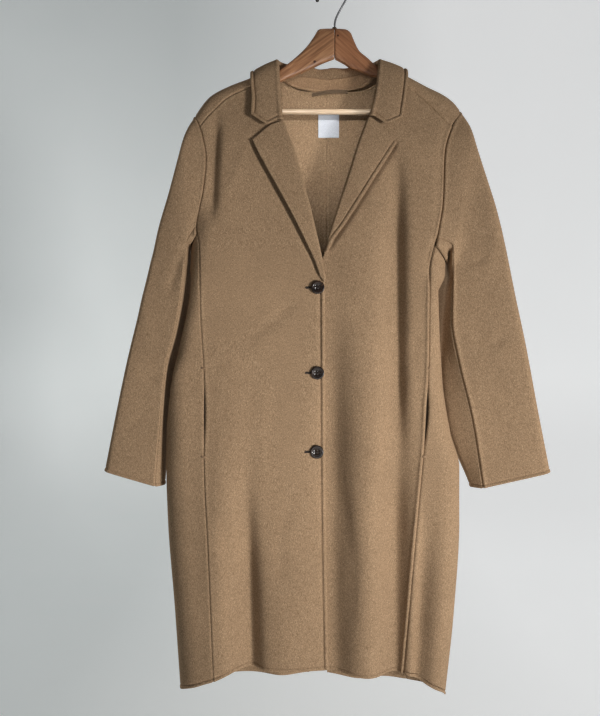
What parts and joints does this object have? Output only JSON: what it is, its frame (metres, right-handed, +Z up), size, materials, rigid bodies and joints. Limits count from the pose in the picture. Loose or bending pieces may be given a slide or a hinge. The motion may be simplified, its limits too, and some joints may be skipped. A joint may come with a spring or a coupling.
{
  "type": "overcoat on a hanger",
  "caption": "Single-breasted wool overcoat with notched lapels, set-in sleeves and side-front seam pockets, buttoned on a wooden coat hanger with a wire hook.",
  "frame": {"origin": "inside top of the hanger's hook, where it hangs on a rail", "axes": "+Z up, the coat faces -Y, +X towards the wearer's left"},
  "size_m": [0.7987, 0.104, 1.3043],
  "materials": {
    "wool": "matte double-faced wool with a soft brushed nap",
    "pocketing": "plain cotton pocketing",
    "label": "blank woven tape",
    "loop": "twisted tape",
    "horn": "polished dark horn",
    "wood": "satin varnish",
    "dowel": "bare pale wood",
    "steel": "polished"
  },
  "bodies": {
    "root": {"front_right": "wool", "front_left": "wool", "side_right": "wool", "side_left": "wool", "back_right": "wool", "back_left": "wool", "sleeve_right_top": "wool", "sleeve_right_under": "wool", "sleeve_left_top": "wool", "sleeve_left_under": "wool", "lapel_right": "wool", "lapel_left": "wool", "collar_fall": "wool", "collar_stand": "wool", "pocket_bag_right": "pocketing", "pocket_bag_left": "pocketing", "neck_label": "label", "hanger_loop": "loop", "button_top": "horn", "button_middle": "horn", "button_bottom": "horn", "hanger_arm_right": "wood", "hanger_arm_left": "wood", "hanger_bar": "dowel", "hanger_hook": "steel"}
  },
  "joints": []
}
